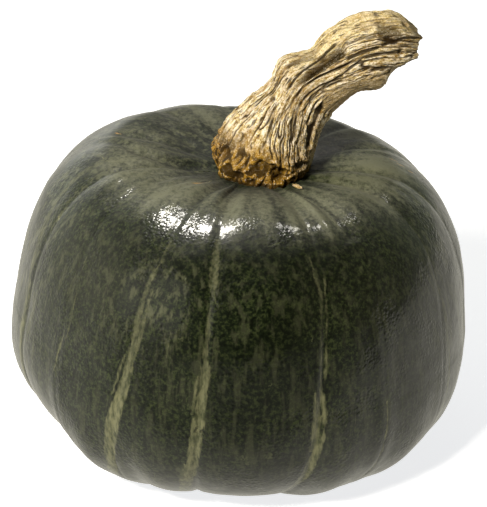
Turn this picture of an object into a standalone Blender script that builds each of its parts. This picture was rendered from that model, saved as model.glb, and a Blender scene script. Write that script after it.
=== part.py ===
"""Kabocha squash, as picked: a squat, faintly ribbed fruit and its dry, corky, leaning stem.

Each sub-part is one closed grid of points. The fruit's points follow from a rib number and a
latitude, the stem's from a place along its bent centre line and an angle round it.
"""

import bpy
import numpy as np

# Fruit: lengths in metres, angles in degrees.
SIDE_RADIUS = 0.090
CROWN_HEIGHT = 0.076
FOOT_DEPTH = 0.0605
CROWN_ROUNDNESS = 2.94
FOOT_ROUNDNESS = 2.22
TAPER = 0.10
HOLLOW_DEPTH = 0.0178
HOLLOW_WIDTH = 0.049
LEAN = 4.6
NOD = -1.4
REST_PLANE = -0.0515
REST_BLEND = 0.004
DIMPLE_DEPTH = 0.0025
DIMPLE_RADIUS = 0.022

# Ribs: how far each one swells out, as a share of the radius, at the crown, the side and the foot.
CROWN_SWELL = 0.008
SIDE_SWELL = 0.005
FOOT_SWELL = 0.029
PLAIN_RADIUS = 0.020
FULL_RADIUS = 0.050

# Uneven growth: share of the radius and the direction of the two-sided and three-sided swelling.
OVAL_SHARE, OVAL_HEADING = -0.011, -160.0
THREE_SHARE, THREE_HEADING = 0.012, 133.0

# One row for each groove: its heading at the crown, the side and the foot, and the swelling
# at the foot of the rib that follows it.
GROOVES = np.array([
    (-161, -160, -161, 0.2),
    (-146, -139, -140, 2.8),
    (-112, -119, -123, 1.3),
    (-105, -99, -104, 0.1),
    (-69, -71, -77, 1.4),
    (-57, -53, -51, 1.7),
    (-24, -30, -28, 0.8),
    (-5, -8, -4, 1.0),
    (22, 18, 20, 1.0),
    (43, 46, 44, 0.9),
    (76, 73, 71, 1.1),
    (99, 102, 100, 1.0),
    (129, 131, 128, 1.2),
    (167, 164, 165, 1.0),
])
RIBS = len(GROOVES)
STEPS_PER_RIB = 5
LATITUDE_STEPS = 40

# Stem: the control points of its centre line, from the hollow of the fruit to the broken end.
STEM_ROUTE = np.array([
    (0.009, 0.000, 0.056),
    (0.011, 0.001, 0.086),
    (0.032, 0.007, 0.106),
    (0.068, 0.012, 0.105),
])

# One row for each station: place along the stem, then half-width above, below, in front, behind.
STEM_STATIONS = np.array([
    (0.00, 0.0165, 0.0145, 0.0155, 0.0155),
    (0.08, 0.0190, 0.0170, 0.0175, 0.0175),
    (0.20, 0.0173, 0.0179, 0.0165, 0.0165),
    (0.30, 0.0139, 0.0170, 0.0145, 0.0140),
    (0.40, 0.0109, 0.0154, 0.0130, 0.0120),
    (0.50, 0.0142, 0.0142, 0.0120, 0.0115),
    (0.60, 0.0104, 0.0136, 0.0115, 0.0110),
    (0.70, 0.0139, 0.0125, 0.0120, 0.0115),
    (0.86, 0.0160, 0.0134, 0.0125, 0.0115),
    (0.94, 0.0140, 0.0080, 0.0110, 0.0105),
    (1.00, 0.0080, 0.0060, 0.0080, 0.0080),
])
STEM_ROWS = 38
STEM_COLUMNS = 40
STEM_CAP_RINGS = 3
STEM_END_BULGE = 0.002
SEAT_GAP = 0.0004

# Pocket between the two strands of the stem: where it runs, its angle and its half-angle.
POCKET_START, POCKET_FULL, POCKET_STOP = 0.42, 0.66, 0.76
POCKET_ANGLE = 16.0
POCKET_HALF_ANGLE = 20.0
POCKET_DEPTH = 0.0035

FRUIT_COLOUR = (0.012, 0.022, 0.012, 1.0)
STEM_COLOUR = (0.48, 0.36, 0.17, 1.0)
FRUIT_ROUGHNESS = 0.42
STEM_ROUGHNESS = 0.85


def smooth_step(low, high, value):
    """0 below low, 1 above high, and an even S-curve between them."""
    share = np.clip((value - low) / (high - low), 0.0, 1.0)
    return share * share * (3.0 - 2.0 * share)


def clear_scene():
    for obj in list(bpy.data.objects):
        bpy.data.objects.remove(obj, do_unlink=True)


def body_profile(latitude):
    """Radius and height of the plain body: a super-ellipse, narrower towards its crown."""
    upper = latitude >= 0.0
    power = np.where(upper, CROWN_ROUNDNESS, FOOT_ROUNDNESS)
    reach = np.where(upper, CROWN_HEIGHT, FOOT_DEPTH)
    cosine, sine = np.cos(latitude), np.sin(latitude)
    length = (np.abs(cosine) ** power + np.abs(sine) ** power) ** (1.0 / power)
    height = reach * sine / length
    return SIDE_RADIUS * cosine / length * (1.0 - TAPER * height / CROWN_HEIGHT), height


def hollow(radius):
    """Depth of the hollow round the stem: deepest on the axis, fading as a bell curve."""
    return HOLLOW_DEPTH * np.exp(-((radius / HOLLOW_WIDTH) ** 2))


def groove_headings(rib, latitude):
    """Headings of the grooves on both sides of a rib: a parabola through foot, side and crown."""
    closed = np.vstack([GROOVES[:, :3], GROOVES[:1, :3] + 360.0])
    place = latitude / (np.pi / 2.0)
    weights = place * (place + 1.0) / 2.0, 1.0 - place * place, place * (place - 1.0) / 2.0
    first, second = (sum(w * closed[k, i] for i, w in enumerate(weights)) for k in (rib, rib + 1))
    return np.radians(first), np.radians(second)


def rib_swell(rib, latitude, width):
    """How far a rib swells at its middle: most at the foot, and more on a wide rib."""
    degrees = np.degrees(latitude)
    towards_foot = smooth_step(0.0, 45.0, -degrees)
    towards_crown = smooth_step(0.0, 60.0, degrees)
    foot = FOOT_SWELL * np.where(degrees < 0.0, GROOVES[rib, 3], 1.0)
    swell = SIDE_SWELL + (foot - SIDE_SWELL) * towards_foot
    swell = swell + (CROWN_SWELL - SIDE_SWELL) * towards_crown
    return swell * width / (2.0 * np.pi / RIBS)


def grown_body(rib_place, latitude):
    """Points of the ribbed body on its own axis; a whole rib_place is a groove."""
    rib = np.floor(rib_place).astype(int) % RIBS
    across = rib_place - np.floor(rib_place)
    first, second = groove_headings(rib, latitude)
    heading = first + across * (second - first)
    radius, height = body_profile(latitude)
    grown = smooth_step(PLAIN_RADIUS, FULL_RADIUS, radius)
    swell = grown * rib_swell(rib, latitude, second - first) * np.abs(np.sin(np.pi * across)) ** 1.1
    uneven = OVAL_SHARE * np.cos(2.0 * (heading - np.radians(OVAL_HEADING)))
    uneven = uneven + THREE_SHARE * np.cos(3.0 * (heading - np.radians(THREE_HEADING)))
    radius = radius * (1.0 + swell) * (1.0 + grown * uneven)
    height = height * (1.0 + swell)
    height = np.where(latitude >= 0.0, height - hollow(radius), height)
    return np.stack([radius * np.cos(heading), radius * np.sin(heading), height], axis=-1)


def lean_matrix():
    """Turns the body's own axis into the way it leans when it rests."""
    lean, nod = np.radians(LEAN), np.radians(NOD)
    sideways = np.array([
        (np.cos(lean), 0.0, np.sin(lean)),
        (0.0, 1.0, 0.0),
        (-np.sin(lean), 0.0, np.cos(lean)),
    ])
    forwards = np.array([
        (1.0, 0.0, 0.0),
        (0.0, np.cos(nod), -np.sin(nod)),
        (0.0, np.sin(nod), np.cos(nod)),
    ])
    return forwards @ sideways


def rested(points):
    """Flattens the foot at the rest plane, with a soft turn, and dents its middle."""
    low, high = REST_PLANE - REST_BLEND, REST_PLANE + REST_BLEND
    height = points[..., 2]
    turned = REST_PLANE + (height - low) ** 2 / (4.0 * REST_BLEND)
    height = np.where(height < low, REST_PLANE, np.where(height > high, height, turned))
    dimple = lean_matrix() @ (0.0, 0.0, -FOOT_DEPTH)
    away = np.hypot(points[..., 0] - dimple[0], points[..., 1] - dimple[1]) / DIMPLE_RADIUS
    dent = DIMPLE_DEPTH * np.clip(1.0 - away**2, 0.0, 1.0) ** 2
    height = np.where(points[..., 2] < 0.0, height + dent, height)
    return np.concatenate([points[..., :2], height[..., None]], axis=-1)


def fruit_grid():
    """The fruit's points, one row for each latitude from the foot up, both poles left out."""
    rib_place = np.arange(RIBS * STEPS_PER_RIB) / STEPS_PER_RIB
    latitude = np.radians(np.linspace(-90.0, 90.0, LATITUDE_STEPS + 1)[1:-1])
    points = grown_body(*np.meshgrid(rib_place, latitude))
    return rested(points @ lean_matrix().T)


def fruit_poles():
    ends = grown_body(np.zeros(2), np.radians([-90.0, 90.0]))
    return rested(ends @ lean_matrix().T)


def seated(points):
    """Lifts the points that would reach into the fruit to just above its hollow."""
    own = points @ lean_matrix()
    latitude = np.radians(np.linspace(90.0, 45.0, 91))
    radius, height = body_profile(latitude)
    floor = np.interp(np.hypot(own[..., 0], own[..., 1]), radius, height - hollow(radius))
    own[..., 2] = np.maximum(own[..., 2], floor + SEAT_GAP)
    return own @ lean_matrix().T


def stem_centre(along):
    """Cubic Bezier curve through the stem, and its direction."""
    t = np.asarray(along)[..., None]
    a, b, c, d = STEM_ROUTE
    centre = (1 - t) ** 3 * a + 3 * t * (1 - t) ** 2 * b + 3 * t**2 * (1 - t) * c + t**3 * d
    ahead = (1 - t) ** 2 * (b - a) + 2 * t * (1 - t) * (c - b) + t**2 * (d - c)
    return centre, ahead / np.linalg.norm(ahead, axis=-1, keepdims=True)


def station_widths(along):
    """The stations' half-widths, joined by a curve that leaves each station level with its slope."""
    at, widths = STEM_STATIONS[:, 0], STEM_STATIONS[:, 1:]
    slopes = np.gradient(widths, at, axis=0)
    k = np.clip(np.searchsorted(at, along, side="right") - 1, 0, len(at) - 2)
    span = (at[k + 1] - at[k])[..., None]
    s = (np.asarray(along)[..., None] - at[k][..., None]) / span
    start, end = widths[k], widths[k + 1]
    leave, arrive = slopes[k] * span, slopes[k + 1] * span
    curve = start * (1 + 2 * s) * (1 - s) ** 2 + end * s * s * (3 - 2 * s)
    return curve + leave * s * (1 - s) ** 2 - arrive * s * s * (1 - s)


def pocket(along, angle):
    """Depth of the hollow between the stem's two strands: it opens slowly and stops at a wall."""
    opened = smooth_step(POCKET_START, POCKET_FULL, along) * smooth_step(POCKET_STOP, POCKET_FULL, along)
    off = (np.degrees(angle) - POCKET_ANGLE) / POCKET_HALF_ANGLE
    return POCKET_DEPTH * opened * np.exp(-(off**2))


def stem_section(along, angle, share=1.0):
    """Point at an angle round the stem: 0 is its front, 90 degrees its upper side."""
    centre, ahead = stem_centre(along)
    front = np.array([0.0, -1.0, 0.0]) - ahead * -ahead[..., 1:2]
    front = front / np.linalg.norm(front, axis=-1, keepdims=True)
    upper = np.cross(front, ahead)
    above, below, before, behind = np.moveaxis(station_widths(along), -1, 0)
    cosine, sine = np.cos(angle), np.sin(angle)
    wide = np.where(sine > 0.0, above, below)
    deep = np.where(cosine > 0.0, before, behind)
    radius = 1.0 / np.sqrt((cosine / deep) ** 2 + (sine / wide) ** 2)
    radius = (radius - pocket(along, angle)) * share
    return centre + radius[..., None] * (cosine[..., None] * front + sine[..., None] * upper)


def stem_grid():
    """The stem's points from the middle of its seat, along its length, to its broken end."""
    angle = np.linspace(np.pi, -np.pi, STEM_COLUMNS, endpoint=False)
    shares = np.arange(1, STEM_CAP_RINGS + 1) / (STEM_CAP_RINGS + 1)
    side = np.linspace(0.0, 1.0, STEM_ROWS)
    along = np.concatenate([np.zeros(STEM_CAP_RINGS), side, np.ones(STEM_CAP_RINGS)])
    share = np.concatenate([shares, np.ones(STEM_ROWS), shares[::-1]])
    angles, alongs = np.meshgrid(angle, along)
    points = stem_section(alongs, angles, np.broadcast_to(share[:, None], angles.shape))
    bulge = np.where(along == 1.0, STEM_END_BULGE * (1.0 - share**2), 0.0)
    points = points + bulge[:, None, None] * stem_centre(1.0)[1]
    return seated(points)


def stem_poles():
    foot, _ = stem_centre(0.0)
    end, ahead = stem_centre(1.0)
    return seated(np.array([foot, end + STEM_END_BULGE * ahead]))


def closed_mesh(name, rows, poles):
    """Mesh of rings of quads round an axis, closed by a fan of triangles at each pole."""
    count, around = rows.shape[:2]
    points = np.concatenate([poles[:1], rows.reshape(-1, 3), poles[1:]])
    here = np.arange(around)
    after = (here + 1) % around
    start = 1 + around * np.arange(count - 1)[:, None]
    quads = np.stack([start + here, start + after, start + around + after, start + around + here], -1)
    top = len(points) - 1
    last = top - around
    foot_fan = [(0, 1 + b, 1 + a) for a, b in zip(here, after)]
    top_fan = [(top, last + a, last + b) for a, b in zip(here, after)]
    faces = [tuple(face) for face in quads.reshape(-1, 4).tolist()]
    mesh = bpy.data.meshes.new(name)
    mesh.from_pydata(points.tolist(), [], faces + foot_fan + top_fan)
    mesh.shade_smooth()
    return mesh


def material(name, colour, roughness):
    made = bpy.data.materials.new(name)
    made.use_nodes = True
    shader = made.node_tree.nodes["Principled BSDF"]
    shader.inputs["Base Color"].default_value = colour
    shader.inputs["Roughness"].default_value = roughness
    shader.inputs["Metallic"].default_value = 0.0
    return made


def add_piece(name, rows, poles, finish):
    mesh = closed_mesh(name, rows, poles)
    mesh.materials.append(finish)
    piece = bpy.data.objects.new(name, mesh)
    bpy.context.scene.collection.objects.link(piece)
    return piece


def main():
    clear_scene()
    fruit_rows, stem_rows = fruit_grid(), stem_grid()
    flat = fruit_rows.reshape(-1, 3)
    middle = (flat.min(axis=0) + flat.max(axis=0)) / 2.0
    to_origin = -np.array([middle[0], middle[1], REST_PLANE])
    skin = material("dark_green_rind", FRUIT_COLOUR, FRUIT_ROUGHNESS)
    cork = material("dry_cork", STEM_COLOUR, STEM_ROUGHNESS)
    add_piece("fruit", fruit_rows + to_origin, fruit_poles() + to_origin, skin)
    add_piece("stem", stem_rows + to_origin, stem_poles() + to_origin, cork)


if __name__ == "__main__":
    main()
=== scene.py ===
"""Kabocha squash: the looks of its waxy rind and dry, corky stem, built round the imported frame.

The rind and the stem are grids of points worked out as whole arrays. Lengths are in metres and
angles in degrees unless a name or a comment says otherwise.
"""

from functools import partial

import bpy
import numpy as np
from bpy.props import FloatProperty, FloatVectorProperty, PointerProperty
from bpy.types import Operator, Panel, PropertyGroup
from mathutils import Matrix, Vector


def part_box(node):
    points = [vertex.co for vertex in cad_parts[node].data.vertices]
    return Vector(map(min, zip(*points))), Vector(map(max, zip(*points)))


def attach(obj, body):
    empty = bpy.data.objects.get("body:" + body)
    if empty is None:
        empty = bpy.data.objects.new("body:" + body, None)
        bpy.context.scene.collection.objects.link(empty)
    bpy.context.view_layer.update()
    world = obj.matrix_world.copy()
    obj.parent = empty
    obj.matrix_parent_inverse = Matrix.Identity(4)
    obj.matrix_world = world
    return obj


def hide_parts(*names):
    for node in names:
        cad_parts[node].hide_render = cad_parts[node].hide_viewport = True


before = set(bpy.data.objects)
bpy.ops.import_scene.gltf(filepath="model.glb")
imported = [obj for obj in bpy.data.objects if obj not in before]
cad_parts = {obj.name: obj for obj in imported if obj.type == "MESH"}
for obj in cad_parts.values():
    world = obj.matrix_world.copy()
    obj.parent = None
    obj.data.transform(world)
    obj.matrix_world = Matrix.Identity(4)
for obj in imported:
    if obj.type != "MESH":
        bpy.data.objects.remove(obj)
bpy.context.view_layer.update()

bl_info = {
    "name": "Kabocha squash",
    "version": (1, 0, 0),
    "blender": (4, 5, 0),
    "location": "View3D > Sidebar > Squash",
    "description": "Makes a kabocha squash with a striped rind and a corky stem",
    "category": "Add Mesh",
}

MM = 0.001

# ---------------------------------------------------------------- sizes of the fruit's body
SIDE_RADIUS = 0.090
CROWN_HEIGHT = 0.076
FOOT_DEPTH = 0.0605
CROWN_ROUNDNESS = 2.94
FOOT_ROUNDNESS = 2.22
TAPER = 0.10
HOLLOW_DEPTH = 0.0178
HOLLOW_WIDTH = 0.049
LEAN = 4.6
NOD = -1.4
REST_PLANE = -0.0515
REST_BLEND = 0.004
DIMPLE_DEPTH = 0.0025
DIMPLE_RADIUS = 0.022
CROWN_SWELL = 0.008
SIDE_SWELL = 0.005
FOOT_SWELL = 0.029
PLAIN_RADIUS = 0.020
FULL_RADIUS = 0.050
OVAL_SHARE, OVAL_HEADING = -0.011, -160.0
THREE_SHARE, THREE_HEADING = 0.012, 133.0

# Heading of each groove at the crown, the side and the foot, and the swelling at the foot of the
# rib that follows it.
GROOVES = np.array([
    (-161, -160, -161, 0.2),
    (-146, -139, -140, 2.8),
    (-112, -119, -123, 1.3),
    (-105, -99, -104, 0.1),
    (-69, -71, -77, 1.4),
    (-57, -53, -51, 1.7),
    (-24, -30, -28, 0.8),
    (-5, -8, -4, 1.0),
    (22, 18, 20, 1.0),
    (43, 46, 44, 0.9),
    (76, 73, 71, 1.1),
    (99, 102, 100, 1.0),
    (129, 131, 128, 1.2),
    (167, 164, 165, 1.0),
])
RIBS = len(GROOVES)
COLUMNS_PER_RIB = 36
CROWDING = 0.10
LATITUDE_ROWS = 192

# Pale strands in the grooves: for each groove its strands, each a list of latitudes, and there the
# strand's distance from the groove and its half-width, both in millimetres.
STRANDS = {
    0: (
        [(-45, -3.0, 0.7), (-20, -3.0, 1.2), (0, -3.2, 1.6), (10, -2.8, 1.7), (21, -5.2, 1.5),
         (30, -7.2, 1.5), (35, -9.6, 1.4), (43, -10.0, 1.4), (52, -9.0, 0.5)],
    ),
    1: (
        [(5, 2.2, 0.1), (9, 2.6, 0.3), (12, 3.2, 0.3), (16, 3.4, 0.05), (21, 3.2, 0.3), (28, 2.2, 0.3),
         (32, 1.8, 0.1)],
        [(-4, -2.0, 0.1), (3, -1.3, 0.3), (8, 0.3, 0.3), (11, 0.8, 0.1)],
    ),
    2: (
        [(-56, -7.0, 0.5), (-45, -5.5, 1.4), (-29, -2.0, 2.3), (-19, -1.1, 2.5), (-11, -0.6, 2.9),
         (-4, 0.5, 2.7), (2, 1.0, 2.2), (8, 1.9, 2.1), (15, 1.6, 1.7), (22, 0.4, 1.1), (28, 0.2, 1.0),
         (31, 0.2, 0.8), (37, 1.0, 0.6), (44, 1.4, 0.1)],
        [(-1, -3.1, 0.2), (4, -2.4, 0.4), (10, -1.7, 0.4), (13, -1.2, 0.1)],
        [(14, 3.0, 0.8), (22, 2.9, 0.9), (28, 2.7, 0.8), (33, 2.2, 0.1)],
    ),
    3: (
        [(-50, -4.8, 1.4), (-33, -3.1, 2.7), (-26, -2.4, 2.7), (-15, -0.9, 2.2), (-9, -0.6, 2.0),
         (-4, -0.2, 2.2), (1, 0.1, 1.9), (5, 0.3, 1.8), (9, 0.7, 1.9), (13, 1.0, 1.7), (16, 0.6, 1.4),
         (20, 0.3, 1.1), (23, 0.5, 0.9), (26, 0.4, 0.5), (30, 0.4, 0.2)],
        [(0, -2.5, 0.3), (4, -2.7, 0.5), (9, -2.3, 0.5), (12, -1.7, 0.1)],
        [(31, 0.5, 0.2), (35, 0.5, 1.6), (41, 0.3, 1.8), (47, 0.0, 0.6)],
    ),
    4: (
        [(-50, -3.5, 0.7), (-38, -2.4, 1.2), (-30, -0.7, 1.6), (-24, 0.1, 1.9), (-14, 1.2, 1.7),
         (-6, 2.6, 0.8), (0, 2.2, 0.8), (6, 0.5, 0.8), (11, -0.8, 0.4), (21, -1.4, 0.35),
         (28, -1.3, 0.4), (34, -1.0, 0.7), (38, -2.8, 0.5), (43, -3.2, 0.3)],
        [(-14, 0.2, 1.9), (-3, -0.7, 1.7), (3, -1.5, 1.2), (8, -2.9, 0.5)],
        [(9, 1.0, 0.3), (12, 0.9, 0.5), (17, 0.9, 0.6), (21, 0.8, 0.2), (34, 0.8, 0.3), (38, 1.2, 0.3)],
    ),
    5: (
        [(-40, -0.6, 0.7), (-22, 0.2, 0.6), (-10, 0.6, 0.4), (2, 0.4, 0.1)],
    ),
    6: (
        [(-40, 1.0, 0.8), (-16, 5.0, 1.0), (2, 6.4, 0.9), (11, 3.8, 1.1), (22, 2.4, 1.0),
         (30, -2.2, 0.8), (36, 0.5, 0.8), (40, 0.8, 0.3)],
    ),
    7: (
        [(-40, 0.0, 0.7), (-15, -0.3, 1.2), (10, 0.5, 0.8), (30, 0.0, 0.6), (42, -0.4, 0.9),
         (50, 0.2, 0.7), (56, 0.4, 0.1)],
    ),
    13: (
        [(42, -0.6, 0.3), (54, 2.6, 0.7), (60, 7.0, 0.8), (67, 6.5, 0.8), (73, 5.4, 0.6),
         (78, 2.6, 0.3)],
    ),
}
# The strands of any groove without its own.
USUAL_STRANDS = (
    [(-50, 0.3, 0.9), (-30, -0.2, 1.7), (-12, 0.4, 1.9), (4, -0.5, 1.5), (20, 0.3, 1.2),
     (34, -0.4, 0.9), (48, 0.6, 0.4)],
    [(-16, 2.4, 0.2), (-4, 1.9, 0.7), (9, 2.4, 0.6), (18, 2.6, 0.1)],
    [(-2, -2.6, 0.2), (10, -1.9, 0.4), (21, -2.4, 0.5), (30, -2.2, 0.1)],
)
STRAND_LAYERS = 3
STRAND_REACH_MM = 14.0
# The half-width that stands for no strand: so far below zero that no ragged edge brings one back.
NO_STRAND_MM = -3.0

# Furrows round the hollow: the rib place and latitude of points on the middle line of each, and its
# depth there in millimetres, below zero for a ridge.
FURROWS = (
    [(13.1, 42, 0.0), (13.26, 54, 0.7), (13.6, 60, 1.5), (13.76, 67, 1.9), (13.8, 73, 1.8),
     (13.7, 80, 1.0)],
    [(12.95, 42, 0.0), (13.08, 54, -0.5), (13.4, 60, -0.8), (13.53, 67, -0.8), (13.55, 73, -0.6),
     (13.45, 80, 0.0)],
    [(12.3, 55, 0.0), (12.45, 63, 0.8), (12.6, 72, 1.0), (12.6, 79, 0.3)],
    [(0.45, 52, 0.0), (0.5, 60, 0.7), (0.55, 70, 0.8), (0.6, 78, 0.2)],
)
FURROW_HALF_MM = 3.4

# Where a groove is shallower than its neighbours: for each such groove some latitudes, and what
# fills it there in millimetres.
FILLS = {
    1: [(-65, 0.0), (-50, 2.0), (-30, 1.7), (-12, 1.1), (5, 0.5), (45, 0.2)],
    2: [(-75, 0.0), (-60, 4.2), (-42, 3.6), (-22, 1.0), (0, 0.0)],
    5: [(-70, 0.0), (-45, 2.2), (-20, 1.4), (5, 0.8), (45, 0.5)],
    6: [(-70, 0.0), (-45, 1.4), (-20, 0.8), (5, 0.4), (45, 0.2)],
}
FILL_HALF_MM = 5.0

# Broad swellings: heading and latitude of the middle, half-width in degrees, height in millimetres.
SWELLINGS = (
    (172.0, 42.0, 24.0, 1.2),
    (42.0, 50.0, 20.0, 1.6),
)

# The skin's dents: height in millimetres, size in metres and seed of each layer of noise.
SKIN_DENTS = ((0.50, 0.045, 11), (0.30, 0.024, 12), (0.20, 0.012, 13), (0.09, 0.0055, 14))
# Pleats round the hollow: height in millimetres, width in ribs, length in metres and seed.
PLEATS = ((0.75, 0.33, 0.030, 15), (0.28, 0.14, 0.020, 16))
PLEATS_RADIUS, PLEATS_WIDTH = 0.038, 0.022
# Streaks in the bloom that fan out from the hollow, in the same columns, with a share for a height.
BLOOM_STREAKS = ((1.0, 0.20, 0.050, 17), (0.7, 0.085, 0.030, 18))
FRONT = -90.0

# Small scars and scuffs on the rind by kind: the rib place and latitude of both ends, and the
# half-width in millimetres.
SCARS = {
    "scuff": (
        (2.63, 20.7, 2.7, 20.3, 0.3), (5.03, -3.7, 5.08, -5.0, 0.3), (3.48, 45.0, 3.67, 47.0, 0.25),
        (3.02, 33.5, 3.07, 29.5, 0.35), (3.55, 11.3, 3.56, 11.0, 0.25), (3.88, 23.7, 3.88, 21.7, 0.25),
        (3.43, -16.7, 3.45, -17.3, 0.4), (3.6, -12.7, 3.63, -14.3, 0.35),
        (3.37, -14.3, 3.43, -15.0, 0.3), (4.42, -16.7, 4.45, -17.3, 0.4),
        (2.81, -23.0, 2.85, -29.0, 1.7), (4.18, 2.7, 4.22, -0.3, 0.25), (4.25, 2.3, 4.25, 0.0, 0.2),
    ),
    "pale": (
        (1.67, 67.7, 1.48, 73.7, 0.4), (13.63, 50.3, 13.68, 51.0, 0.3),
        (13.73, 51.3, 13.77, 52.3, 0.3), (6.88, 47.3, 7.02, 43.0, 0.3), (7.02, 43.0, 7.07, 37.3, 0.25),
        (13.98, 33.3, 14.02, 33.0, 0.3), (9.55, 12.0, 9.6, 6.0, 0.4), (11.62, -8.0, 11.66, -13.0, 0.5),
    ),
    "golden": (
        (1.5, 66.0, 1.6, 68.7, 0.9), (12.93, 52.0, 12.95, 54.3, 0.4), (7.67, 53.7, 7.6, 51.3, 0.6),
        (7.52, 52.0, 7.5, 50.0, 0.6), (7.42, 48.7, 7.45, 47.3, 0.7), (8.4, 30.0, 8.44, 27.0, 0.6),
        (10.35, 48.0, 10.42, 45.0, 0.7), (12.5, 20.0, 12.56, 18.0, 0.5),
    ),
    "dark": (
        (1.53, 68.7, 1.5, 71.3, 0.8), (3.0, -4.0, 3.02, -6.7, 0.8), (2.8, -25.5, 2.82, -27.0, 0.7),
        (10.37, 45.5, 10.43, 43.0, 0.5),
    ),
}
SCAR_DEPTH = 0.003

# ---------------------------------------------------------------- sizes of the stem
STEM_ROUTE = np.array([
    (0.009, 0.000, 0.056),
    (0.011, 0.001, 0.086),
    (0.032, 0.007, 0.106),
    (0.068, 0.012, 0.105),
])
# Place along the stem, from 0 to 1, then the half-width above, below, in front and behind.
STEM_STATIONS = np.array([
    (0.00, 0.0165, 0.0145, 0.0175, 0.0155),
    (0.08, 0.0190, 0.0170, 0.0200, 0.0175),
    (0.20, 0.0173, 0.0179, 0.0172, 0.0165),
    (0.30, 0.0139, 0.0170, 0.0145, 0.0140),
    (0.40, 0.0109, 0.0154, 0.0130, 0.0120),
    (0.50, 0.0142, 0.0142, 0.0120, 0.0115),
    (0.60, 0.0104, 0.0136, 0.0115, 0.0110),
    (0.70, 0.0139, 0.0125, 0.0120, 0.0115),
    (0.86, 0.0160, 0.0134, 0.0125, 0.0115),
    (0.94, 0.0140, 0.0080, 0.0110, 0.0105),
    (1.00, 0.0080, 0.0060, 0.0080, 0.0080),
])
STEM_LENGTH_MM = 88.0
# The radius at which sizes round the stem are measured.
STEM_GIRTH_MM = 12.5
STEM_COLUMNS = 288
STEM_ROWS = 270
SEAT_RINGS = 6
END_RINGS = 22
SEAT_SINK = 0.0008

# Noises on the stem: width round it and length along it in millimetres, and seed. The first lot
# keeps to its angles, and the second follows the bent fibres.
STEM_NOISES = (
    (9.0, 14.0, 20), (3.0, 5.0, 19), (4.0, 6.0, 24), (3.4, 4.5, 25), (2.1, 3.0, 26),
    (1.0, 1.3, 27), (0.75, 1.1, 28),
)
FIBRE_NOISES = ((6.0, 22.0, 21), (1.9, 22.0, 22), (0.85, 9.0, 23))
TORN_NOISES = ((3.4, 5.0, 50), (1.5, 5.0, 51))
# The height of that noise at which a strand leaves the valley beside it.
VALLEY_SHARE = 0.45

# The splinter that lies against the stem's foot: rib place and latitude of its two ends, and its
# half-width and half-height in millimetres.
SPLINTER_ENDS = ((5.12, 73.2), (5.10, 68.0))
SPLINTER_WIDTH_MM = 0.75
SPLINTER_HEIGHT_MM = 0.6
SPLINTER_RINGS = 40
SPLINTER_COLUMNS = 36

# Long creases between the stem's strands: place and angle at both ends, half-width and depth in
# millimetres.
CREASES = (
    (0.7, 24, 0.85, 29, 0.7, 1.3), (0.84, 29, 1.0, 46, 0.7, 1.3), (0.4, -14, 0.57, -4, 0.6, 0.9),
    (0.55, -5, 0.68, 1, 0.6, 1.2), (0.67, 1, 0.77, 16, 0.6, 1.1), (0.76, 16, 0.95, 17, 0.6, 1.0),
    (0.7, 50, 0.77, 62, 0.4, 0.7), (0.76, 62, 0.9, 72, 0.4, 0.7), (0.71, 45, 0.9, 53, 0.5, 0.8),
    (0.42, 34, 0.72, 58, 0.45, 1.2), (0.16, 14, 0.44, 12, 0.5, 0.7), (0.2, 140, 0.95, 150, 0.7, 1.1),
    (0.15, -100, 0.6, -110, 0.7, 1.2), (0.1, -150, 0.9, -160, 0.6, 1.1),
    (0.5, 120, 1.0, 112, 0.5, 0.8),
)
# Pits and bare patches: place, angle, radius in millimetres, depth in millimetres.
PITS = (
    (0.115, 57, 1.9, 2.4), (0.193, 44, 1.5, 1.4), (0.13, 0, 1.7, 2.0), (0.1, -11, 2.2, 2.6),
    (0.12, -17, 1.5, 2.0), (0.155, -42, 2.0, 2.0), (0.06, 14, 1.2, 1.2), (0.21, 8, 1.0, 1.2),
    (0.24, 70, 0.9, 1.2), (0.888, 46, 3.6, 1.3), (0.955, 64, 1.1, 1.5), (0.785, 86, 2.6, 0.9),
    (0.93, 8, 1.4, 1.4), (0.095, 150, 2.0, 2.0), (0.15, -120, 1.8, 1.8), (0.12, -170, 1.6, 1.6),
)
# Raised flakes and plates at the stem's foot, in the same columns, the last being their height.
PLATES = (
    (0.085, 46.0, 3.4, 1.0), (0.05, 52.0, 2.6, 0.9), (0.045, -14.0, 2.4, 1.3), (0.19, -43.0, 1.6, 0.9),
    (0.075, 100.0, 2.8, 0.9), (0.06, -95.0, 2.6, 1.0), (0.08, 170.0, 3.0, 1.0),
)
# The open pocket between the two strands: its depth, and how far the torn end is hollowed out.
POCKET_DEPTH_MM = 6.0
END_HOLLOW_MM = 2.6

# The studio's soft glows: heading and height of each in degrees, and its colour. Each fades as
# this power of the cosine of the angle to its middle.
GLOW_POWER = 6.0
GLOWS = (
    (205.0, 14.0, (0.24, 0.23, 0.20)),
    (180.0, 8.0, (0.72, 0.68, 0.52)),
    (135.0, 8.0, (0.42, 0.44, 0.38)),
    (104.0, 8.0, (0.85, 0.85, 0.78)),
    (45.0, 8.0, (0.22, 0.25, 0.18)),
    (338.0, 14.0, (0.11, 0.10, 0.06)),
)

# The softboxes: name, heading and height in degrees seen from the fruit, side in metres, share of
# the key's power, and what it lights. Those that only shine give the wax its highlights.
SOFTBOXES = (
    ("key", 240.0, 40.0, 0.20, 1.0, "diffuse"),
    ("shine_left", 124.0, 71.0, 0.21, 0.48, "glossy"),
    ("shine", 87.0, 61.0, 0.13, 0.17, "glossy"),
    ("shine_right", 54.0, 54.0, 0.10, 0.048, "glossy"),
    ("sheen", 225.0, 24.0, 0.70, 0.06, "glossy"),
)
SOFTBOX_AWAY = 1.1
SOFTBOX_AIM = np.array((0.0, 0.0, 0.08))
FLOOR_HALF = 3.0
SENSOR_MM, LENS_MM = 36.0, 161.2
CAMERA_PLACE, CAMERA_AIM = (0.0001, -0.7893, 0.4827), (0.002, 0.0105, 0.0692)


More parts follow.
